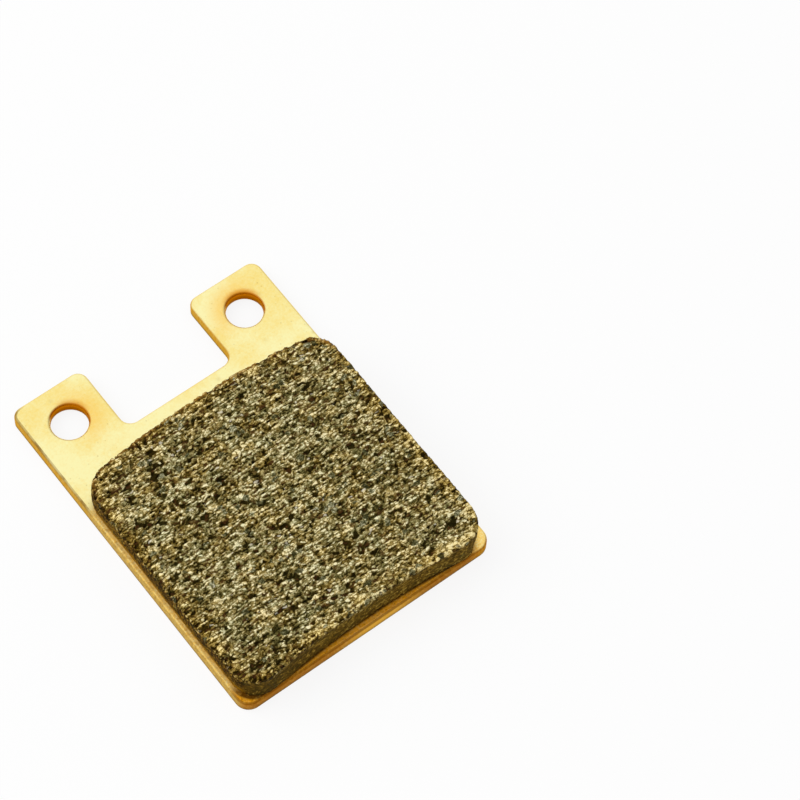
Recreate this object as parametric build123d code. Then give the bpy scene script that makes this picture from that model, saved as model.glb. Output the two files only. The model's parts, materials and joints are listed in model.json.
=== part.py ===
from build123d import *
from math import sqrt
import os

# A disc brake pad that lies on the back of its plate, friction face up, ears towards +Y.
# The origin is the middle of the plate's outline, on its back face. Sizes are millimetres.

# Backing plate: a punched blank with an ear at each side of its far end
plate_width = 32.0
plate_length = 42.2
plate_thickness = 1.5
ear_width = 9.1
ear_length = 8.65
front_corner_radius = 1.6
ear_corner_radius = 1.2
ear_root_radius = 1.3
rolled_edge_radius = 0.25
back_edge_break = 0.08

# Pin holes: one in the middle of each ear, rolled in at the front and torn wider at the back
pin_diameter = 4.0
pin_clearance = 0.1  # on the diameter
pin_to_ear_tip = 4.5
pin_hole_roll = 0.3
tear_depth = 0.45
tear_growth = 0.12  # on the radius

# Key holes: the friction material is pressed into them
key_hole_diameter = 5.0
key_hole_spacing = 19.4
key_hole_to_front_edge = 16.5
key_hole_break = 0.1

# Friction block: both ends are arched towards the ears, as the rim of the disc runs
friction_thickness = 3.5
friction_front_margin = 1.05  # in the middle of the arch
friction_ear_margin = 3.05  # in the middle of the arch
friction_side_margin = 0.55
friction_arch_radius = 100.0
friction_corner_radius = 3.0
friction_edge_break = 0.15
plug_wall_height = 0.25
plug_crown = 0.35

# Places that follow from the sizes above
side_x = plate_width / 2
front_y = -plate_length / 2
tip_y = plate_length / 2
root_y = tip_y - ear_length
gap_width = plate_width - 2 * ear_width
pin_x = side_x - ear_width / 2
pin_y = tip_y - pin_to_ear_tip
pin_hole_radius = (pin_diameter + pin_clearance) / 2
key_x = key_hole_spacing / 2
key_y = front_y + key_hole_to_front_edge
key_hole_radius = key_hole_diameter / 2
pin_places = [(-pin_x, pin_y), (pin_x, pin_y)]
key_places = [(-key_x, key_y), (key_x, key_y)]


def at_y(vertices, y):
    return vertices.filter_by(lambda vertex: abs(vertex.Y - y) < 1e-6)


def make_plate_outline():
    with BuildSketch() as outline:
        Rectangle(plate_width, plate_length)
        with Locations((0, tip_y)):
            Rectangle(gap_width, 2 * ear_length, mode=Mode.SUBTRACT)
        fillet(at_y(outline.vertices(), front_y), front_corner_radius)
        fillet(at_y(outline.vertices(), tip_y), ear_corner_radius)
        fillet(at_y(outline.vertices(), root_y), ear_root_radius)
    return outline.sketch


def cut_hole(places, radius, back_growth, back_depth):
    # A straight wall through the plate, then a cone that widens it towards the back face
    from_back = (Align.CENTER, Align.CENTER, Align.MIN)
    with Locations(*places):
        Cylinder(radius, plate_thickness, align=from_back, mode=Mode.SUBTRACT)
        Cone(radius + back_growth, radius, back_depth, align=from_back, mode=Mode.SUBTRACT)


def make_backing_plate():
    outline = make_plate_outline()
    with BuildPart() as plate:
        add(outline)
        extrude(amount=plate_thickness)
        # The blank's edges are rolled on the friction side and nearly sharp on the back
        fillet(plate.faces().sort_by(Axis.Z)[-1].edges(), rolled_edge_radius)
        chamfer(plate.faces().sort_by(Axis.Z)[0].edges(), back_edge_break)
        # The pin holes' front rims are rolled in, and the key holes' are sharp under the block
        cut_hole(pin_places, pin_hole_radius, tear_growth, tear_depth)
        rims = plate.faces().sort_by(Axis.Z)[-1].inner_wires()
        fillet([edge for rim in rims for edge in rim.edges()], pin_hole_roll)
        cut_hole(key_places, key_hole_radius, key_hole_break, key_hole_break)
    return plate.part


def make_friction_outline():
    block_x = side_x - friction_side_margin
    arch_drop = friction_arch_radius - sqrt(friction_arch_radius**2 - block_x**2)
    front_middle_y = front_y + friction_front_margin
    front_corner_y = front_middle_y - arch_drop
    ear_middle_y = root_y - friction_ear_margin
    ear_corner_y = ear_middle_y - arch_drop
    with BuildSketch(Plane.XY.offset(plate_thickness)) as outline:
        with BuildLine():
            ThreePointArc((-block_x, front_corner_y), (0, front_middle_y), (block_x, front_corner_y))
            Line((block_x, front_corner_y), (block_x, ear_corner_y))
            ThreePointArc((block_x, ear_corner_y), (0, ear_middle_y), (-block_x, ear_corner_y))
            Line((-block_x, ear_corner_y), (-block_x, front_corner_y))
        make_face()
        fillet(outline.vertices(), friction_corner_radius)
    return outline.sketch


def make_plug():
    # Half section of one plug: it meets the hole's wall, then crowns towards the back face
    wall_z = plate_thickness - plug_wall_height
    crown_z = wall_z - plug_crown
    with BuildPart() as plug:
        with BuildSketch(Plane.XZ):
            with BuildLine():
                Line((0, crown_z), (0, plate_thickness))
                Line((0, plate_thickness), (key_hole_radius, plate_thickness))
                Line((key_hole_radius, plate_thickness), (key_hole_radius, wall_z))
                TangentArc((0, crown_z), (key_hole_radius, wall_z), tangent=(1, 0))
            make_face()
        revolve(axis=Axis.Z)
    return plug.part


def make_friction_block():
    outline = make_friction_outline()
    plug = make_plug()
    with BuildPart() as block:
        add(outline)
        extrude(amount=friction_thickness)
        chamfer(block.faces().sort_by(Axis.Z)[-1].edges(), friction_edge_break)
        with Locations(*key_places):
            add(plug)
    return block.part


os.makedirs("parts", exist_ok=True)
export_step(make_backing_plate(), "parts/backing_plate.step")
export_step(make_friction_block(), "parts/friction_block.step")
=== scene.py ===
import json
import math

import bmesh
import bpy
from mathutils import Matrix, Vector


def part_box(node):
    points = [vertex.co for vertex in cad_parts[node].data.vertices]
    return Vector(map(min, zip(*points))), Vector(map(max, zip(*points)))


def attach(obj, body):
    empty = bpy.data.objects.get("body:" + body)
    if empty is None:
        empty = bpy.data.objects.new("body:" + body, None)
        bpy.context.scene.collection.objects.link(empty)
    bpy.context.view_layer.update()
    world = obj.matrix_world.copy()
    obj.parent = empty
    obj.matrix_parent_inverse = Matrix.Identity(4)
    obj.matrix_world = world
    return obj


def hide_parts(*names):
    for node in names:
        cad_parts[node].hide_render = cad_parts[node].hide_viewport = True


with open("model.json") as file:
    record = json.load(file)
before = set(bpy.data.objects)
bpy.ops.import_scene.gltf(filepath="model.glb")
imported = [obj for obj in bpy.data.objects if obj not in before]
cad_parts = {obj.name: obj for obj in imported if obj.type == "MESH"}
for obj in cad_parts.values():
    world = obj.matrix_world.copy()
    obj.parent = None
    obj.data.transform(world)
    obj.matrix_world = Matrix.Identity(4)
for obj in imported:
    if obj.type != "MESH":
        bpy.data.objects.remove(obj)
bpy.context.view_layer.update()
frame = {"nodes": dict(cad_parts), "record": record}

plateLow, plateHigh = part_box("backing_plate")
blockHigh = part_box("friction_block")[1]
mounts = {mount["name"]: Vector(mount["pos_m"]) for mount in frame["record"]["mounts"]}
mm = 0.001
scene = bpy.context.scene
scene.view_settings.view_transform = "Standard"
print("frame loaded:", ", ".join(sorted(frame["nodes"])))

# camera: the pad lies at the lower left of the picture, seen from above its front left corner
cameraSetup = {
    "turn": -41.0,                  # degrees round the pad, 0 looks along +Y
    "height": 62.03,                # degrees above the floor
    "roll": 4.15,
    "focalPixels": 3495.0,
    "pictureSide": 800.0,           # in pixels
    "padPixel": (249.81, 483.3),    # where the middle of the plate's back lies
    "pixelSize": 32.0 / 303.6 * mm,
    "sensor": 36.0,
    "clip": (0.01, 20.0),
}


def placeCamera(setup):
    turn, height, roll = (math.radians(setup[key]) for key in ("turn", "height", "roll"))
    level = Vector((math.cos(turn), math.sin(turn), 0.0))
    ahead = Vector((-math.sin(turn), math.cos(turn), 0.0))
    back = math.sin(height) * Vector((0.0, 0.0, 1.0)) - math.cos(height) * ahead
    rise = back.cross(level)
    right = math.cos(roll) * level + math.sin(roll) * rise
    up = math.cos(roll) * rise - math.sin(roll) * level
    middle = setup["pictureSide"] / 2
    aside = middle - setup["padPixel"][0]
    above = setup["padPixel"][1] - middle
    spot = (setup["focalPixels"] * back + aside * right + above * up) * setup["pixelSize"]
    bpy.ops.object.camera_add(location=spot)
    camera = bpy.context.active_object
    camera.name = "photoCamera"
    camera.rotation_euler = Matrix((right, up, back)).transposed().to_euler()
    camera.data.sensor_width = setup["sensor"]
    camera.data.lens = setup["sensor"] * setup["focalPixels"] / setup["pictureSide"]
    camera.data.clip_start, camera.data.clip_end = setup["clip"]
    scene.camera = camera


placeCamera(cameraSetup)
print("camera placed")


# a socket that can be used in sums: each sum adds a Math node to the tree it came from
class Wire:
    def __init__(self, board, socket):
        self.board, self.socket = board, socket

    def twin(self, output):  # another output of the same node
        return Wire(self.board, self.socket.node.outputs[output])

    def sum(self, operation, first, second):
        return self.board.add("ShaderNodeMath", {"operation": operation}, {0: first, 1: second})

    def __add__(self, other):
        return self.sum("ADD", self, other)

    def __radd__(self, other):
        return self.sum("ADD", other, self)

    def __sub__(self, other):
        return self.sum("SUBTRACT", self, other)

    def __rsub__(self, other):
        return self.sum("SUBTRACT", other, self)

    def __mul__(self, other):
        return self.sum("MULTIPLY", self, other)

    def __rmul__(self, other):
        return self.sum("MULTIPLY", other, self)

    def __truediv__(self, other):
        return self.sum("DIVIDE", self, other)

    def __rtruediv__(self, other):
        return self.sum("DIVIDE", other, self)

    def __pow__(self, other):
        return self.sum("POWER", self, other)

    def __gt__(self, other):
        return self.sum("GREATER_THAN", self, other)

    def __lt__(self, other):
        return self.sum("LESS_THAN", self, other)

    def __neg__(self):
        return self.sum("MULTIPLY", self, -1.0)

    def __abs__(self):
        return self.sum("ABSOLUTE", self, 0.0)

    def larger(self, other):
        return self.sum("MAXIMUM", self, other)

    def smaller(self, other):
        return self.sum("MINIMUM", self, other)

    def ease(self, low, high):  # 0 at low, 1 at high, smooth between; low may be the larger one
        reach = {"Value": self, 1: low, 2: high}
        return self.board.add("ShaderNodeMapRange", {"interpolation_type": "SMOOTHSTEP"}, reach)


# a node tree that nodes are added to, of a material, of the world or of a mesh modifier
class Board:
    def __init__(self, tree):
        self.tree = tree

    def add(self, kind, settings=None, inputs=None, output=0):
        node = self.tree.nodes.new(kind)
        for name, value in (settings or {}).items():
            setattr(node, name, value)
        for name, value in (inputs or {}).items():
            if isinstance(value, Wire):
                self.tree.links.new(value.socket, node.inputs[name])
            else:
                node.inputs[name].default_value = value
        return Wire(self, node.outputs[output]) if node.outputs else node

    def scale(self, place, factor):
        return self.add("ShaderNodeVectorMath", {"operation": "SCALE"}, {0: place, "Scale": factor})

    def stretch(self, place, size, shift):
        moved = {0: place, 1: tuple(1.0 / length for length in size), 2: shift}
        return self.add("ShaderNodeVectorMath", {"operation": "MULTIPLY_ADD"}, moved)

    def place(self):  # where a point of the piece lies, in millimetres
        return self.scale(self.add("ShaderNodeTexCoord", None, None, "Object"), 1.0 / mm)

    def split(self, place):
        first = self.add("ShaderNodeSeparateXYZ", None, {0: place})
        return first, first.twin(1), first.twin(2)

    def noise(self, place, size, shift, detail, roughness, low=None, high=None):
        # spots of a size along each axis, in millimetres; eased where low and high are given
        spots = {"Vector": self.stretch(place, size, shift), "Scale": 1.0,
                 "Detail": detail, "Roughness": roughness}
        value = self.add("ShaderNodeTexNoise", {"noise_dimensions": "3D"}, spots)
        return value if low is None else value.ease(low, high)

    def cells(self, place, size, shift, feature="F1"):
        spread = {"Vector": self.stretch(place, size, shift), "Scale": 1.0, "Randomness": 1.0}
        kind = {"feature": feature, "voronoi_dimensions": "3D"}
        return self.add("ShaderNodeTexVoronoi", kind, spread)

    def blend(self, factor, first, second, mode="MIX"):
        ends = {0: factor, 6: first, 7: second}
        return self.add("ShaderNodeMix", {"data_type": "RGBA", "blend_type": mode}, ends, 2)

    def ramp(self, factor, stops):
        colour = self.add("ShaderNodeValToRGB", None, {0: factor})
        elements = colour.socket.node.color_ramp.elements
        while len(elements) < len(stops):
            elements.new(0.5)
        for element, (position, shade) in zip(elements, stops):
            element.position, element.color = position, shade
        return colour

    def bump(self, strength, depth, height):
        shape = {"Strength": strength, "Distance": depth, "Height": height}
        return self.add("ShaderNodeBump", None, shape)

    def finish(self, sockets):
        shader = self.add("ShaderNodeBsdfPrincipled", None, sockets)
        self.add("ShaderNodeOutputMaterial", None, {"Surface": shader})


def newMaterial(name):
    material = bpy.data.materials.new(name)
    material.use_nodes = True
    material.node_tree.nodes.clear()
    return material, Board(material.node_tree)


def paint(red, green, blue):  # a colour as a paint card gives it, 0 to 255
    def straight(value):
        value /= 255.0
        return value / 12.92 if value <= 0.04045 else ((value + 0.055) / 1.055) ** 2.4
    return straight(red), straight(green), straight(blue), 1.0


# hand tools: open a piece for editing, pick what passes a test, run a modifier
levelFrom = 0.99        # a face is level when this much of its normal runs along Z


def openPiece(name):
    piece = bpy.context.active_object
    piece.name = piece.data.name = name
    bpy.ops.object.transform_apply(location=True, rotation=True, scale=True)
    bpy.ops.object.mode_set(mode="EDIT")
    return piece


def startBox(name, low, high):  # a box between two corners, open for editing
    middle = [(least + most) / 2 for least, most in zip(low, high)]
    size = [most - least for least, most in zip(low, high)]
    bpy.ops.object.select_all(action="DESELECT")
    bpy.ops.mesh.primitive_cube_add(size=1.0, location=middle, scale=size)
    return openPiece(name)


def choose(*pieces):  # these pieces alone are selected, and the first one is active
    bpy.ops.object.select_all(action="DESELECT")
    for piece in pieces:
        piece.select_set(True)
    bpy.context.view_layer.objects.active = pieces[0]


def pick(kind, wanted):
    bpy.ops.mesh.select_mode(type=kind)
    bpy.ops.mesh.select_all(action="DESELECT")
    shape = bmesh.from_edit_mesh(bpy.context.edit_object.data)
    shape.normal_update()
    for part in {"EDGE": shape.edges, "FACE": shape.faces}[kind]:
        if wanted(part):
            part.select_set(True)
    shape.select_flush_mode()
    bmesh.update_edit_mesh(bpy.context.edit_object.data)


def near(value, goal, slack=2e-6):
    return abs(value - goal) < slack


def upright(edge, x, y):  # an edge along Z at this place, on either side of the middle
    low, high = (vertex.co for vertex in edge.verts)
    placed = all(near(abs(co.x), x) and near(co.y, y) for co in (low, high))
    return placed and not near(low.z, high.z)


def onRim(edge, z):  # an edge between a level face at this height and a face of another slope
    if not all(near(vertex.co.z, z) for vertex in edge.verts):
        return False
    return sum(abs(face.normal.z) > levelFrom for face in edge.link_faces) == 1


def roundEdges(wanted, radius, steps):
    pick("EDGE", wanted)
    bpy.ops.mesh.bevel(offset=radius, segments=steps, affect="EDGES")


def splitAt(x):
    bpy.ops.mesh.select_all(action="SELECT")
    bpy.ops.mesh.bisect(plane_co=(x, 0, 0), plane_no=(1, 0, 0))


def applyModifier(piece, kind, **settings):
    choose(piece)
    modifier = piece.modifiers.new(kind.lower(), kind)
    for name, value in settings.items():
        setattr(modifier, name, value)
    bpy.ops.object.modifier_apply(modifier=modifier.name)


def turnPiece(name, x, y, rings, corners):
    # a round piece on an upright axis, drawn up ring by ring: (height, radius), lowest first
    bpy.ops.object.select_all(action="DESELECT")
    (z0, r0), (z1, r1) = rings[:2]
    bpy.ops.mesh.primitive_cone_add(
        vertices=corners, radius1=r0, radius2=r1, depth=z1 - z0, location=(x, y, (z0 + z1) / 2))
    piece = openPiece(name)
    pick("FACE", lambda face: face.normal.z > levelFrom)
    for (low, before), (high, after) in zip(rings[1:], rings[2:]):
        bpy.ops.mesh.extrude_region_move(TRANSFORM_OT_translate={"value": (0, 0, high - low)})
        grow = after / before
        bpy.ops.transform.resize(value=(grow, grow, 1), center_override=(x, y, high))
    bpy.ops.object.mode_set(mode="OBJECT")
    return piece


def joinPieces(pieces):
    choose(*pieces)
    bpy.ops.object.join()
    return pieces[0]


def settle(piece, node):
    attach(piece, "root")
    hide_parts(node)


# backing plate: a punched blank with two ears, rolled over in front and nearly sharp at the back
plateSetup = {
    "earWidth": 9.1 * mm,
    "earLength": 8.65 * mm,
    "frontCorner": 1.6 * mm,
    "earCorner": 1.2 * mm,
    "earRoot": 1.3 * mm,
    "cornerSteps": 10,
    "rolledEdge": 0.32 * mm,
    "rolledSteps": 6,
    "backBreak": 0.08 * mm,
    "backSteps": 2,
    "pinRadius": 2.05 * mm,
    "pinRoll": 0.42 * mm,
    "pinPast": 0.1 * mm,        # how far the cutters reach past the faces
    "tearDepth": 0.45 * mm,
    "tearGrowth": 0.12 * mm,
    "keyRadius": 2.5 * mm,
    "keyBreak": 0.1 * mm,
    "keyPast": 0.05 * mm,
    "keyX": 9.7 * mm,
    "keyY": -4.6 * mm,
    "holeCorners": 96,
    "flatAngle": 1.0,           # degrees between faces that are one
    "smoothAngle": 35.0,        # degrees between faces that are shaded as one
    "bareHeight": 0.05 * mm,    # faces below this that look down are bare steel
}


def pinHoleRings(setup, thick):
    radius, roll, past = setup["pinRadius"], setup["pinRoll"], setup["pinPast"]
    slope = setup["tearGrowth"] / setup["tearDepth"]
    widest = radius + slope * (setup["tearDepth"] + past)
    rings = [(-past, widest), (setup["tearDepth"], radius)]
    for step in range(setup["rolledSteps"] + 1):
        angle = math.radians(90.0 * step / setup["rolledSteps"])
        height = thick - roll + roll * math.sin(angle)
        rings.append((height, radius + roll * (1 - math.cos(angle))))
    return rings + [(thick + past, radius + roll)]


def keyHoleRings(setup, thick):
    radius, edge, past = setup["keyRadius"], setup["keyBreak"], setup["keyPast"]
    return [(-past, radius + edge + past), (edge, radius), (thick + past, radius)]


def makePlate(setup):
    thick = plateHigh.z - plateLow.z
    rootY = plateHigh.y - setup["earLength"]
    gapX = plateHigh.x - setup["earWidth"]
    low, high = (plateLow.x, plateLow.y, 0.0), (plateHigh.x, rootY, thick)
    plate = startBox("backingPlate", low, high)
    splitAt(-gapX)
    splitAt(gapX)
    pick("FACE", lambda face: face.normal.y > 0.9 and abs(face.calc_center_median().x) > gapX)
    bpy.ops.mesh.extrude_region_move(TRANSFORM_OT_translate={"value": (0, setup["earLength"], 0)})
    bpy.ops.mesh.select_all(action="SELECT")
    bpy.ops.mesh.dissolve_limited(angle_limit=math.radians(setup["flatAngle"]))
    corners = (
        (plateHigh.x, plateLow.y, setup["frontCorner"]),
        (plateHigh.x, plateHigh.y, setup["earCorner"]),
        (gapX, plateHigh.y, setup["earCorner"]),
        (gapX, rootY, setup["earRoot"]),
    )
    for x, y, radius in corners:
        roundEdges(lambda edge: upright(edge, x, y), radius, setup["cornerSteps"])
    roundEdges(lambda edge: onRim(edge, thick), setup["rolledEdge"], setup["rolledSteps"])
    roundEdges(lambda edge: onRim(edge, 0.0), setup["backBreak"], setup["backSteps"])
    bpy.ops.object.mode_set(mode="OBJECT")
    cutters = []
    for side, name in ((-1, "pin_hole_left"), (1, "pin_hole_right")):
        holes = (
            ("pinCutter", mounts[name].x, mounts[name].y, pinHoleRings(setup, thick)),
            ("keyCutter", side * setup["keyX"], setup["keyY"], keyHoleRings(setup, thick)),
        )
        cutters += [turnPiece(*hole, setup["holeCorners"]) for hole in holes]
    punch = joinPieces(cutters)
    applyModifier(plate, "BOOLEAN", object=punch, operation="DIFFERENCE", solver="EXACT")
    bpy.data.objects.remove(punch)
    return plate


plate = makePlate(plateSetup)
print("plate modelled:", len(plate.data.polygons), "faces")


# friction block: pressed grit, ground flat on top along X, with plugs that crown into the key holes
blockSetup = {
    "frontMargin": 1.05 * mm,   # to the plate's front edge, in the middle of the arch
    "archRadius": 100.0 * mm,
    "archSteps": 32,
    "corner": 3.0 * mm,
    "cornerSteps": 16,
    "rimBreak": 0.08 * mm,
    "rimSteps": 2,
    "plugFit": 0.01 * mm,
    "plugWall": 0.25 * mm,
    "plugCrown": 0.35 * mm,
    "plugRoot": 0.5 * mm,       # how far a plug reaches up into the block
    "plugSteps": 6,
    "plugCorners": 64,
    "grainSize": 0.125 * mm,    # how fine the block is cut up before its grain is pressed in
    "footSlack": 0.03 * mm,
    "unwrapAngle": 66.0,
    "unwrapGap": 0.003,
    # depths of the relief, in millimetres
    "lapDepth": 0.002,          # the whole ground face lies this much under the solid's
    "poreDepth": 0.09,
    "streakDepth": 0.03,
    "pitDepth": 0.20,
    "farDepth": 0.28,
    "leftDepth": 0.34,
    "leftChip": 0.204,
    "rimChip": 0.18,
    "sideWave": 0.16,
    "sideGrit": 0.12,
    "sideFlake": 0.10,
    "sideSwell": 0.10,
    "frontFoot": 0.12,
    "leftFoot": -0.14,
    "cornerFoot": -0.52,
    "footHeight": 1.6,
    "plugGrit": 0.22,
    # noises: size along X, Y and Z, shift, detail, roughness, and the values they are eased between
    "drift": ((0.7, 0.7, 0.7), (5.1, 2.3, 1.7), 1.0, 0.5),
    "driftReach": 0.45,
    "lump": ((0.46, 0.29, 0.29), (3.7, 1.9, 0.4), 2.0, 0.5, 0.33, 0.67),
    "streak": ((3.4, 0.23, 0.23), (1.3, 7.7, 2.9), 1.5, 0.5, 0.34, 0.66),
    "pit": ((0.95, 0.78, 0.78), (0.7, 4.4, 3.1), 1.5, 0.5, 0.59, 0.69),
    "patch": ((2.6, 2.2, 2.2), (6.1, 3.3, 0.9), 2.0, 0.5, 0.32, 0.68),
    "nibble": ((0.85, 0.85, 1.2), (3.6, 1.4, 8.8), 3.0, 0.65, 0.48, 0.64),
    "crumb": ((0.60, 0.45, 0.60), (7.4, 2.8, 5.6), 2.0, 0.6, 0.34, 0.66),
    "notch": ((0.55, 0.55, 0.55), (4.4, 6.2, 7.3), 1.0, 0.5, 0.57, 0.68),
    "wave": ((3.4, 3.4, 6.0), (2.2, 8.1, 4.0), 1.0, 0.5),
    "grit": ((0.75, 0.75, 0.6), (9.1, 3.2, 1.1), 2.0, 0.6),
    "dimple": ((0.55, 0.55, 0.55), (1.8, 5.5, 2.6), 2.0, 0.6),
    # cells: size along X, Y and Z, and shift
    "chips": ((0.46, 0.26, 0.26), (2.9, 6.4, 1.5)),
    "grains": ((0.72, 0.60, 0.60), (8.3, 0.6, 5.2)),
    "glintFrom": 0.991,         # shares of the cells that are something rarer
    "rustBelow": 0.12,
    "crystalFrom": 0.935,
}


def grainPattern(board, place):
    # the block's own pattern, the same for its relief and for its colours
    setup = blockSetup
    x, y, z = board.split(place)
    level = z.smaller(blockHigh.z / mm - 0.3)   # the face's relief doesn't shift its pattern
    place = board.add("ShaderNodeCombineXYZ", None, {0: x, 1: y, 2: level})
    drift = board.scale(board.noise(place, *setup["drift"]).twin("Color"), setup["driftReach"])
    wavy = board.add("ShaderNodeVectorMath", {"operation": "ADD"}, {0: place, 1: drift})
    # chips of metal, smeared together
    lump = board.noise(wavy, *setup["lump"])
    bright, hue, rare = board.split(board.cells(wavy, *setup["chips"]).twin("Color"))
    edge = board.cells(wavy, *setup["chips"], "DISTANCE_TO_EDGE")
    seam = edge.ease(0.0, 0.20)
    # a few hard grains between them
    kind, shade = board.split(board.cells(wavy, *setup["grains"]).twin("Color"))[:2]
    within = board.cells(wavy, *setup["grains"], "DISTANCE_TO_EDGE").ease(0.03, 0.14)
    crystal = within * (kind > setup["crystalFrom"])
    return {
        "flake": 0.55 * lump + 0.45 * bright * (0.35 + 0.65 * seam),
        "hue": hue,
        "crack": edge.ease(0.09, 0.02),
        "glint": seam * (rare > setup["glintFrom"]),
        "rust": rare < setup["rustBelow"],
        "streak": board.noise(place, *setup["streak"]),
        "pit": board.noise(wavy, *setup["pit"]) * (1 - crystal),
        "patch": board.noise(place, *setup["patch"]),
        "crystal": crystal,
        "shade": shade,
    }


def rimInset(board, place):
    # millimetres from the block's outline inwards, up to the radius of its corners
    setup = blockSetup
    x, y = board.split(place)[:2]
    half, corner = blockHigh.x / mm, setup["corner"] / mm
    frontY, earY = (plateLow.y + setup["frontMargin"]) / mm, blockHigh.y / mm
    straight = y + x * x / (2 * setup["archRadius"] / mm)
    overX = (abs(x) - (half - corner)).larger(0.0)
    overY = (abs(straight - (frontY + earY) / 2) - ((earY - frontY) / 2 - corner)).larger(0.0)
    return corner - (overX * overX + overY * overY) ** 0.5


def pressGrain(block, setup):
    # a mesh modifier that moves each point of the block by its grain, then is applied
    group = bpy.data.node_groups.new("frictionGrain", "GeometryNodeTree")
    for way in ("INPUT", "OUTPUT"):
        group.interface.new_socket("Geometry", in_out=way, socket_type="NodeSocketGeometry")
    board = Board(group)
    mesh = board.add("NodeGroupInput")
    place = board.scale(board.add("GeometryNodeInputPosition"), 1.0 / mm)
    x, y, z = board.split(place)
    across, along, facing = board.split(board.add("GeometryNodeInputNormal"))
    topZ, footZ = blockHigh.z / mm, plateHigh.z / mm
    grain = grainPattern(board, place)
    inset = rimInset(board, place)
    nibble = board.noise(place, *setup["nibble"])
    crumb = board.noise(place, *setup["crumb"])
    # the ground face: flat where the metal was smeared, with pores, grinding marks and open pits
    sink = grain["flake"].ease(0.48, 0.15) * setup["poreDepth"]
    sink = sink + grain["streak"].ease(0.45, 0.05) * setup["streakDepth"]
    sink = sink * (1 - grain["crystal"]) + grain["pit"] * setup["pitDepth"]
    # its far rim is nibbled and its left rim is worn round
    farRim = inset.ease(0.50, 0.15) * y.ease(4.0, 6.0)
    leftRim = inset.ease(0.70, 0.0) * (-x).ease(13.4, 14.6)
    sink = sink + nibble * farRim * setup["farDepth"]
    sink = sink + leftRim * (0.25 + 0.75 * crumb) * setup["leftDepth"]
    ground = z.ease(topZ - 0.25, topZ - 0.05)
    # the sides wave a little and crumble towards the rim
    wave = (board.noise(place, *setup["wave"]) - 0.5) * setup["sideWave"]
    grit = (board.noise(place, *setup["grit"]) - 0.5) * setup["sideGrit"]
    flake = (grain["flake"] - 0.5) * setup["sideFlake"]
    chip = board.noise(place, *setup["notch"]) * setup["rimChip"]
    chip = chip + nibble * along.ease(0.2, 0.7) * setup["farDepth"]
    chip = chip + crumb * (-across).ease(0.4, 0.9) * setup["leftChip"]
    chip = chip * z.ease(topZ - 0.8, topZ - 0.2)
    # the foot spreads in front, and draws in on the left and at the right front corner
    rightCorner = across.ease(0.15, 0.65) * (-along).ease(0.15, 0.65)
    foot = (-along).larger(0.0) * setup["frontFoot"] + (-across).ease(0.5, 0.9) * setup["leftFoot"]
    foot = (foot + rightCorner * setup["cornerFoot"]) * z.ease(footZ + setup["footHeight"], footZ)
    flank = (1 - abs(facing)).ease(0.05, 0.40) * z.ease(footZ - 0.10, footZ - 0.02)
    push = (wave + grit + flake + setup["sideSwell"] + foot - chip) * flank * mm
    # the plugs' ends are granular
    plugs = z.ease(footZ - 0.03, footZ - 0.12) * (facing < -0.4)
    rise = plugs * (board.noise(place, *setup["dimple"]) - 0.5) * setup["plugGrit"]
    lift = (rise - ground * (sink + setup["lapDepth"])) * mm
    shift = board.add("ShaderNodeCombineXYZ", None, {0: across * push, 1: along * push, 2: lift})
    moved = board.add("GeometryNodeSetPosition", None, {"Geometry": mesh, "Offset": shift})
    board.add("NodeGroupOutput", None, {0: moved})
    applyModifier(block, "NODES", node_group=group)
    bpy.data.node_groups.remove(group)


def plugRings(setup):
    radius = plateSetup["keyRadius"] - setup["plugFit"]
    wallZ = plateHigh.z - setup["plugWall"]
    rings = []
    for step in range(1, setup["plugSteps"] + 1):
        share = step / setup["plugSteps"]
        rings.append((wallZ - setup["plugCrown"] * (1 - share * share), radius * share))
    return rings + [(plateHigh.z + setup["plugRoot"], radius)]


def makeBlock(setup):
    footZ, topZ = plateHigh.z, blockHigh.z
    frontY, earY = plateLow.y + setup["frontMargin"], blockHigh.y
    half, arch = blockHigh.x, setup["archRadius"]

    def onFoot(face):
        low = near(face.calc_center_median().z, footZ, setup["footSlack"])
        return low and face.normal.z < -levelFrom

    block = startBox("frictionBlock", (-half, frontY, footZ), (half, earY, topZ))
    # round corners, longer in front and shorter at the ears, because the arch leans the ends there
    lean = math.asin(half / arch)
    for y, turn in ((frontY, -lean), (earY, lean)):
        length = setup["corner"] / math.tan(math.radians(45) + turn / 2)
        roundEdges(lambda edge: upright(edge, half, y), length, setup["cornerSteps"])
    for step in range(1, setup["archSteps"]):
        splitAt(half * (2 * step / setup["archSteps"] - 1))
    shape = bmesh.from_edit_mesh(block.data)
    for vertex in shape.verts:
        vertex.co.y -= arch - math.sqrt(arch ** 2 - vertex.co.x ** 2)
    bmesh.update_edit_mesh(block.data)
    roundEdges(lambda edge: onRim(edge, topZ), setup["rimBreak"], setup["rimSteps"])
    bpy.ops.object.mode_set(mode="OBJECT")
    keyX, keyY = plateSetup["keyX"], plateSetup["keyY"]
    rings, corners = plugRings(setup), setup["plugCorners"]
    plugs = [turnPiece("plug", x, keyY, rings, corners) for x in (-keyX, keyX)]
    block = joinPieces([block, *plugs])
    fine = {"mode": "VOXEL", "voxel_size": setup["grainSize"], "use_smooth_shade": True}
    applyModifier(block, "REMESH", **fine)
    # the hidden foot needs no grain, so its small faces give way to one flat fill
    bpy.ops.object.mode_set(mode="EDIT")
    pick("FACE", onFoot)
    bpy.ops.mesh.delete(type="FACE")
    pick("EDGE", lambda edge: edge.is_boundary)
    bpy.ops.mesh.fill(use_beauty=False)
    bpy.ops.mesh.select_all(action="SELECT")
    bpy.ops.mesh.normals_make_consistent(inside=False)
    angle, gap = math.radians(setup["unwrapAngle"]), setup["unwrapGap"]
    bpy.ops.uv.smart_project(angle_limit=angle, island_margin=gap)
    bpy.ops.object.mode_set(mode="OBJECT")
    block.data.uv_layers.active.name = "OFBake"
    pressGrain(block, setup)
    return block


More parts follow.
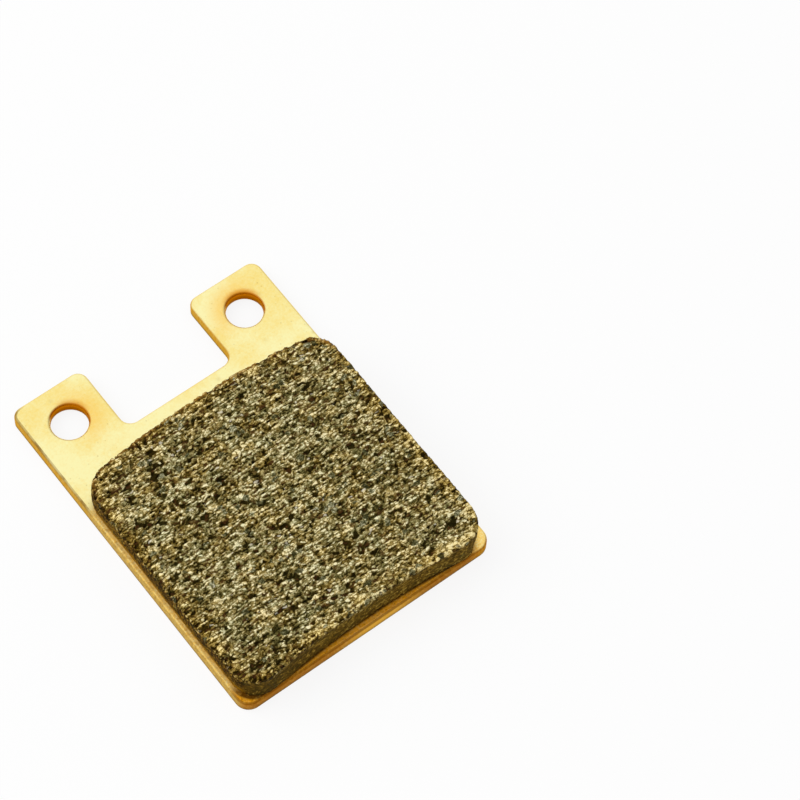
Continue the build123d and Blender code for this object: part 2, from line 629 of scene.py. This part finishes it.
block = makeBlock(blockSetup)
print("friction block modelled:", len(block.data.polygons), "faces")

# finishes: colours, and noises in the same order of values as the block's
platingLook = {
    "pale": paint(255, 247, 182),
    "deep": paint(252, 226, 132),
    "halo": paint(254, 202, 80),
    "amber": paint(226, 150, 30),
    "besideShade": paint(252, 210, 112),
    "frontShade": paint(246, 170, 26),
    "blockShadow": paint(74, 38, 4),
    "frontDarkShade": paint(140, 84, 6),
    "side": paint(198, 165, 84),
    "earSide": paint(212, 160, 58),
    "farSide": paint(244, 218, 140),
    "front": paint(176, 112, 22),
    "frontHighlight": paint(224, 172, 66),
    "bore": paint(150, 74, 10),
    "boreTop": paint(204, 120, 6),
    "torn": paint(134, 96, 38),
    "bottomDark": paint(98, 74, 32),
    "worn": paint(138, 96, 6),
    "speck": paint(164, 128, 62),
    "mottle": paint(158, 108, 26),
    "edgeTint": (1.0, 0.78, 0.36, 1.0),
    "edgeLevel": 0.1,
    "bump": (0.25, 0.02 * mm),
    "cloud": ((6.0, 6.0, 6.0), (1.0, 2.0, 3.0), 3.0, 0.55, 0.34, 0.66),
    "fine": ((0.28, 0.28, 0.28), (4.0, 1.0, 6.0), 2.0, 0.6),
    "grit": ((0.16, 0.16, 0.16), (3.0, 7.0, 1.0), 1.0, 0.5, 0.52, 0.68),
    "shear": ((0.3, 0.3, 1.2), (2.0, 9.0, 5.0), 3.0, 0.6),
    "stain": ((2.2, 2.2, 0.8), (7.0, 3.0, 2.0), 3.0, 0.6, 0.40, 0.70),
    "specks": [                 # size, shift, share of the cells, faintest, strongest
        (0.50, 0.0, 0.55, 0.10, 0.45),
        (1.70, 3.0, 0.50, 0.06, 0.32),
    ],
    "mottles": [                # noise, strength, colour
        (((0.50, 0.50, 0.50), (8.0, 2.0, 5.0), 3.0, 0.6, 0.47, 0.62), 0.38, "mottle"),
        (((0.36, 0.36, 0.36), (8.0, 2.0, 5.0), 3.0, 0.6, 0.52, 0.66), 0.45, "halo"),
    ],
    # for the left ear and for the right one
    "haloAim": ((-1.0, -0.12), (-0.60, 0.80)),
    "haloShare": (0.42, 0.56),
    "ringAim": ((-0.70, 0.70), (0.35, 0.94)),
    "ringStart": (0.55, 0.30),
    "ringShare": (0.55, 0.75),
}


def platingMaterial(look):
    material, board = newMaterial("goldPlating")
    place = board.place()
    x, y, z = board.split(place)
    normal = board.add("ShaderNodeNewGeometry", None, None, "True Normal")
    across, along, facing = board.split(normal)
    cloud = board.noise(place, *look["cloud"])
    fine = board.noise(place, *look["fine"])
    colour = board.blend(cloud * 0.75 + (fine - 0.5) * 1.1, look["pale"], look["deep"])
    # painted reflection: the face is painted a deeper yellow round the pin holes, on other sides of
    # the left one and of the right one
    pin = mounts["pin_hole_right"] / mm
    fromPinX, fromPinY = abs(x) - pin.x, y - pin.y     # X away from the pad's middle
    away = (fromPinX * fromPinX + fromPinY * fromPinY) ** 0.5
    onRight = x > 0.0

    def byEar(left, right):
        return left + (right - left) * onRight

    def aimed(left, right):  # how far a point lies from the pin hole's middle in a direction
        return fromPinX * byEar(left[0], right[0]) + fromPinY * byEar(left[1], right[1])

    halo = away.ease(4.8, 2.1) * aimed(*look["haloAim"]).ease(-1.2, 3.0)
    colour = board.blend(halo * (byEar(*look["haloShare"]) + 0.30 * fine), colour, look["halo"])
    # painted shade: an amber crescent on the far rim of each pin hole
    ring = (aimed(*look["ringAim"]) / away).ease(byEar(*look["ringStart"]), 1.0)
    ring = ring * away.ease(2.85, 2.30) * byEar(*look["ringShare"])
    colour = board.blend(ring, colour, look["amber"])
    # painted shade of the friction block on the plate beside it, browner in front of it, and a
    # painted shadow under its edge
    outside = -rimInset(board, place)
    beforeEars = y.ease(8.0, 5.0)
    strip = outside.ease(1.25, 0.65) * beforeEars
    front = (-y).ease(17.5, 19.6) * x.ease(15.0, 12.5)
    beside = board.blend(front, look["besideShade"], look["frontShade"])
    streaky = 0.75 + 0.20 * front + (1.8 - 1.2 * front) * (fine - 0.45)
    colour = board.blend(strip * streaky, colour, beside)
    colour = board.blend(strip * front * fine.ease(0.50, 0.68) * 0.45, colour, look["frontDarkShade"])
    grit = board.noise(place, *look["grit"])
    colour = board.blend(strip * grit * (0.5 - 0.36 * front), colour, look["pale"])
    strip = strip * x.ease(14.6, 12.5)
    # painted shadow right under the block's edge, strongest in front
    blockShadow = strip * (0.12 + 0.78 * front) * outside.ease(0.46, 0.20)
    colour = board.blend(blockShadow, colour, look["blockShadow"])
    # fine brown specks, and a few larger and fainter ones
    for size, shift, share, least, most in look["specks"]:
        dot = board.cells(place, (size, size, size), (shift, shift, shift))
        chance, strong, wide = board.split(dot.twin("Color"))
        speck = dot.ease(0.16 + 0.12 * wide, 0.02) * (chance < share)
        speck = speck * (least + (most - least) * strong * strong)
        colour = board.blend(speck, colour, look["speck"])
    # rolled edges and punched sides: painted shade makes them browner in front, with a painted
    # highlight in the middle of the front side; torn towards the back, and darker along the bottom
    # edge
    slope = 1 - abs(facing)
    flank = slope.ease(0.01, 0.40)
    inBore = away < 2.7
    shear = board.noise(place, *look["shear"])
    faceOn = (-along).ease(0.1, 0.7)
    side = board.blend(y.ease(4.0, 11.0), look["side"], look["earSide"])
    # painted highlight in the middle of the front side, painted shade browner towards its ends
    side = board.blend(faceOn, side, look["frontHighlight"])
    side = board.blend(faceOn * abs(x - 1.5).ease(1.0, 7.0), side, look["front"])
    side = board.blend((z + (shear - 0.5) * 1.2).ease(0.80, 0.10) * 0.75, side, look["torn"])
    side = board.blend((across + along).ease(0.15, 0.55), side, look["farSide"])
    # darker along the bottom edge
    side = board.blend(z.ease(0.30, 0.05) * 0.7, side, look["bottomDark"])
    colour = board.blend(flank * (0.55 + 0.8 * shear) * (1 - inBore), colour, side)
    # pin holes: painted shade, brown down the walls and on the lip of the far side
    bore = board.blend(z.ease(0.5, 1.3), look["bore"], look["boreTop"])
    lip = slope.ease(0.01, 0.30) * (-across - along).ease(-0.15, 0.25)
    colour = board.blend(slope.ease(0.55, 0.90).larger(lip) * inBore, colour, bore)
    # a worn line where the left ear's edge begins to roll, and a painted-shade line on the rolled
    # edge in front
    stain = board.noise(place, *look["stain"])
    leftEar = (-x).ease(14.0, 15.4) * y.ease(5.0, 8.0)
    worn = slope.ease(0.0, 0.01) * slope.ease(0.60, 0.25) * leftEar
    colour = board.blend(worn * (0.45 + 0.50 * stain), colour, look["worn"])
    frontDarkShade = slope.ease(0.0, 0.08) * slope.ease(0.95, 0.40) * front
    colour = board.blend(frontDarkShade * 0.7, colour, look["frontDarkShade"])
    # brown and yellow mottles on the painted shade beside the block and on the left side, fainter
    # in front
    leftSide = flank * (-across).ease(0.2, 0.8) * beforeEars
    mottled = strip.larger(leftSide * 0.7) * (1 - 0.6 * front)
    for pattern, strength, tone in look["mottles"]:
        patch = board.noise(place, *pattern)
        colour = board.blend(patch * mottled * strength, colour, look[tone])
    board.finish({
        "Base Color": colour,
        "Metallic": 1 - 0.65 * strip,
        "Roughness": 0.28 + 0.10 * fine + 0.12 * flank + 0.25 * strip,
        "Normal": board.bump(*look["bump"], fine * 0.4 + flank * shear * 0.8),
        "Specular IOR Level": look["edgeLevel"],
        "Specular Tint": look["edgeTint"],
    })
    return material


steelLook = {
    "bare": paint(238, 237, 233),
    "dull": paint(214, 213, 208),
    "pepper": paint(176, 174, 168),
    "speck": paint(92, 90, 86),
    "smudge": paint(128, 125, 118),
    "metal": 0.45,
    "bump": (0.3, 0.03 * mm),
    "cloud": ((7.0, 7.0, 7.0), (3.0, 1.0, 4.0), 4.0, 0.6, 0.40, 0.75),
    "fine": ((0.17, 0.17, 0.17), (7.0, 2.0, 1.0), 2.0, 0.6),
    "rub": ((0.55, 0.32, 0.55), (6.0, 3.0, 9.0), 3.0, 0.65, 0.56, 0.66),
    "dots": ((0.55, 0.55, 0.55), (2.0, 4.0, 1.0)),
    "dotsFrom": 0.72,
}


def steelMaterial(look):
    material, board = newMaterial("bareSteel")
    place = board.place()
    x, y = board.split(place)[:2]
    cloud = board.noise(place, *look["cloud"])
    fine = board.noise(place, *look["fine"])
    colour = board.blend(cloud * 0.5, look["bare"], look["dull"])
    # fine pepper all over, thicker along the outline, rubs at the ear tips and a few larger specks
    edge = abs(x).ease(13.6, 15.9).larger(abs(y).ease(18.4, 21.0))
    pepper = (fine + 0.10 * edge).ease(0.52, 0.74) * (0.35 + 0.45 * edge)
    colour = board.blend(pepper, colour, look["pepper"])
    rub = board.noise(place, *look["rub"]) * y.ease(15.5, 20.5)
    colour = board.blend(rub * 0.45, colour, look["smudge"])
    dot = board.cells(place, *look["dots"])
    chance, strong, wide = board.split(dot.twin("Color"))
    speck = dot.ease(0.10 + 0.12 * wide, 0.04 + 0.06 * wide) * (chance > look["dotsFrom"])
    speck = speck * (0.15 + 0.40 * strong)
    colour = board.blend(speck, colour, look["speck"])
    board.finish({
        "Base Color": colour,
        "Metallic": look["metal"],
        "Roughness": 0.50 + 0.2 * fine,
        "Normal": board.bump(*look["bump"], fine - speck),
    })
    return material


frictionLook = {
    "tones": [
        (0.00, paint(12, 9, 1)),
        (0.25, paint(64, 53, 18)),
        (0.50, paint(122, 107, 60)),
        (0.75, paint(178, 162, 110)),
        (1.00, paint(250, 239, 196)),
    ],
    "tints": [
        (0.05, (0.80, 0.92, 0.92, 1.0)),
        (0.50, (1.0, 1.0, 0.92, 1.0)),
        (0.95, (1.10, 0.94, 0.52, 1.0)),
    ],
    "crystals": [
        (0.00, paint(20, 22, 6)),
        (0.45, paint(64, 65, 36)),
        (0.75, paint(122, 121, 88)),
        (1.00, paint(206, 202, 168)),
    ],
    "glint": paint(216, 207, 184),
    "rim": (1.12, 0.98, 0.52, 1.0),
    "rust": paint(92, 56, 30),
    "bronze": paint(166, 116, 44),
    "skin": paint(106, 84, 28),
    "skinTint": (0.54, 0.44, 0.18, 1.0),
    "leftSideLight": (0.66, 0.50, 0.17, 1.0),
    "foot": paint(38, 22, 6),
    "footGlow": paint(150, 106, 18),
    "plugDark": paint(92, 84, 70),
    "plugPale": paint(226, 223, 214),
    "edgeLevel": 0.02,
    "bump": (0.5, 0.06 * mm),
    "fine": ((0.20, 0.14, 0.14), (0.3, 5.0, 2.0), 2.0, 0.6, 0.25, 0.75),
    "cloud": ((2.4, 1.9, 1.9), (2.7, 5.9, 8.2), 3.0, 0.6),
    "plugSpeck": ((0.45, 0.45, 0.45), (1.0, 8.0, 3.0), 3.0, 0.65, 0.34, 0.52),
}


def frictionMaterial(look):
    material, board = newMaterial("sinteredMetal")
    place = board.place()
    x, y, z = board.split(place)
    topZ, footZ = blockHigh.z / mm, plateHigh.z / mm
    grain = grainPattern(board, place)
    inset = rimInset(board, place)
    fine = board.noise(place, *look["fine"])
    cloud = board.noise(place, *look["cloud"])
    ground = z.ease(topZ - 1.0, topZ - 0.12)
    face = z.ease(topZ - 0.40, topZ - 0.25)
    tone = 1.02 * grain["flake"] + 0.28 * grain["streak"] * face + 0.22 * fine
    tone = tone + 0.13 * grain["patch"] - 0.16 * grain["crack"] - 0.185
    # brighter along the front rim, duller along the left one and round the corner between them
    frontRim = inset.ease(1.8, 0.4) * (-y).ease(14.5, 17.0) * x.ease(-9.0, -4.0)
    leftRim = inset.ease(1.2, 0.1) * (-x).ease(9.0, 13.0)
    cornerRim = inset.ease(1.1, 0.3) * (-y).ease(15.0, 17.0) * x.ease(-6.0, -9.0) * face
    tone = tone + 0.15 * frontRim - 0.07 * leftRim - 0.12 * cornerRim
    tone = tone * (1 - 0.82 * grain["pit"])
    colour = board.ramp(tone, look["tones"])
    # each chip has its own tint, greener or browner; brown gathers in clouds and along the rim
    tint = 0.48 + 0.7 * (grain["hue"] - 0.5) + 2.6 * (cloud - 0.5) + 0.55 * inset.ease(2.0, 0.3)
    tint = board.ramp(tint, look["tints"])
    colour = board.blend(1.15 - 0.75 * tone, colour, tint, "MULTIPLY")
    rim = inset.ease(1.3, 0.1) * (0.8 * cloud - 0.05)
    colour = board.blend(rim, colour, look["rim"], "MULTIPLY")
    colour = board.blend(grain["rust"] * (0.55 - 0.45 * tone), colour, look["rust"])
    crystal = board.ramp(0.55 * grain["shade"] + 0.75 * (fine - 0.5) + 0.20, look["crystals"])
    colour = board.blend(grain["crystal"] * 0.85, colour, crystal)
    glint = grain["glint"] * (0.8 - 0.6 * inset.ease(1.6, 0.9))
    colour = board.blend(glint, colour, look["glint"])
    # sides: pressed and not ground, so the same grain shows under a dull brown skin, with painted
    # light making the left side lighter
    left = (-x).ease(14.7, 15.2)
    skinTint = board.blend(left, look["skinTint"], look["leftSideLight"])
    colour = board.blend(1 - ground, colour, skinTint, "MULTIPLY")
    colour = board.blend((1 - ground) * (0.40 - 0.28 * left), colour, look["skin"])
    # painted shade darkens the foot, and a painted glow from the plate lights it on the left
    foot = board.blend(left, look["foot"], look["footGlow"])
    ragged = z + 1.4 * (cloud - 0.5) + 0.5 * (fine - 0.5)
    low = ragged.ease(footZ + 0.50 + 0.7 * left, footZ + 0.06 + 0.3 * left)
    colour = board.blend(low * 0.85, colour, foot)
    # bronze along the far rim, and painted shade darkening the notches along the rim
    far = y.ease(4.0, 6.0)
    bronze = far * face * inset.ease(0.40, 0.05) * (1.2 * cloud - 0.15)
    colour = board.blend(bronze, colour, look["bronze"])
    nibble = board.noise(place, *blockSetup["nibble"]) * far
    notch = board.noise(place, *blockSetup["notch"]).larger(nibble)
    colour = board.blend(notch * inset.ease(0.55, 0.15) * ground * 0.85, colour, look["foot"])
    # plugs in the key holes: pale bare grit
    plug = board.blend(board.noise(place, *look["plugSpeck"]), look["plugDark"], look["plugPale"])
    colour = board.blend(z.ease(footZ - 0.02, footZ - 0.10), colour, plug)
    board.finish({
        "Base Color": colour,
        "Metallic": 0.75 * ground * grain["flake"] * (1 - grain["pit"]),
        "Roughness": 0.72 - 0.30 * grain["flake"] * ground,
        "Normal": board.bump(*look["bump"], grain["flake"] * 0.5 + fine * 0.5),
        "Specular IOR Level": look["edgeLevel"],
    })
    return material


def dressPlate(piece, setup):
    piece.data.materials.append(platingMaterial(platingLook))
    piece.data.materials.append(steelMaterial(steelLook))
    for face in piece.data.polygons:
        bare = face.normal.z < -0.9 and face.center.z < setup["bareHeight"]
        face.material_index = int(bare)
    choose(piece)
    bpy.ops.object.shade_smooth_by_angle(angle=math.radians(setup["smoothAngle"]))
    applyModifier(piece, "WEIGHTED_NORMAL", keep_sharp=True)


def dressBlock(piece):
    piece.data.materials.clear()
    piece.data.materials.append(frictionMaterial(frictionLook))
    choose(piece)
    bpy.ops.object.shade_smooth()


dressPlate(plate, plateSetup)
dressBlock(block)
settle(plate, "backing_plate")
settle(block, "friction_block")
print("pieces dressed")

# floor, lamp and world
stageSetup = {
    "floorSide": 8.0,
    "floorDrop": 0.02 * mm,
    "floorTone": (0.98, 0.98, 0.98, 1.0),
    "floorGlow": 0.86,          # how much of the floor's white doesn't wait for the lamp
    "lampSpot": (-0.42, 0.42, 0.50),
    "lampSize": 0.90,
    "lampPower": 3.8,
    "worldLight": 0.62,         # what the world gives the surfaces
    "worldShown": (0.40, 1.0),  # what the camera and the metal see of it, darkest and brightest
    "worldLean": (-0.35, 0.55, 0.76),
    "worldFade": (-0.7, 0.7),
}


def shownRays(board):  # 1 for what the camera sees, straight or in the metal
    rays = board.add("ShaderNodeLightPath", None, None, "Is Camera Ray")
    return rays.larger(rays.twin("Is Glossy Ray")).larger(rays.twin("Is Transmission Ray"))


def makeFloor(setup):
    bpy.ops.object.select_all(action="DESELECT")
    drop = (0, 0, -setup["floorDrop"])
    bpy.ops.mesh.primitive_plane_add(size=setup["floorSide"], location=drop)
    floor = bpy.context.active_object
    floor.name = "paleFloor"
    material, board = newMaterial("paleFloor")
    matt = board.add("ShaderNodeBsdfDiffuse", None, {"Color": setup["floorTone"]})
    glow = board.add("ShaderNodeEmission", None, {"Strength": 1.0})
    share = shownRays(board) * setup["floorGlow"]
    paper = board.add("ShaderNodeMixShader", None, {0: share, 1: matt, 2: glow})
    board.add("ShaderNodeOutputMaterial", None, {"Surface": paper})
    floor.data.materials.append(material)


def makeLamp(setup):
    bpy.ops.object.light_add(type="AREA", location=setup["lampSpot"])
    lamp = bpy.context.active_object
    lamp.name = "keyLamp"
    lamp.rotation_euler = Vector(setup["lampSpot"]).to_track_quat("Z", "Y").to_euler()
    lamp.data.shape = "DISK"
    lamp.data.size, lamp.data.energy = setup["lampSize"], setup["lampPower"]
    lamp.visible_glossy = False   # the metal shows the world and the floor, not the lamp's disc


def makeWorld(setup):
    world = bpy.data.worlds.new("studioWorld")
    world.use_nodes = True
    world.node_tree.nodes.clear()
    scene.world = world
    board = Board(world.node_tree)
    ahead = board.add("ShaderNodeTexCoord", None, None, "Generated")
    ends = {0: ahead, 1: setup["worldLean"]}
    lean = board.add("ShaderNodeVectorMath", {"operation": "DOT_PRODUCT"}, ends, "Value")
    dim, full = setup["worldShown"]
    shown = dim + lean.ease(*setup["worldFade"]) * (full - dim)
    strength = setup["worldLight"] + shownRays(board) * (shown - setup["worldLight"])
    white = {"Color": (1.0, 1.0, 1.0, 1.0), "Strength": strength}
    sky = board.add("ShaderNodeBackground", None, white)
    board.add("ShaderNodeOutputWorld", None, {"Surface": sky})


makeFloor(stageSetup)
makeLamp(stageSetup)
makeWorld(stageSetup)
print("stage lit")

bpy.context.view_layer.update()
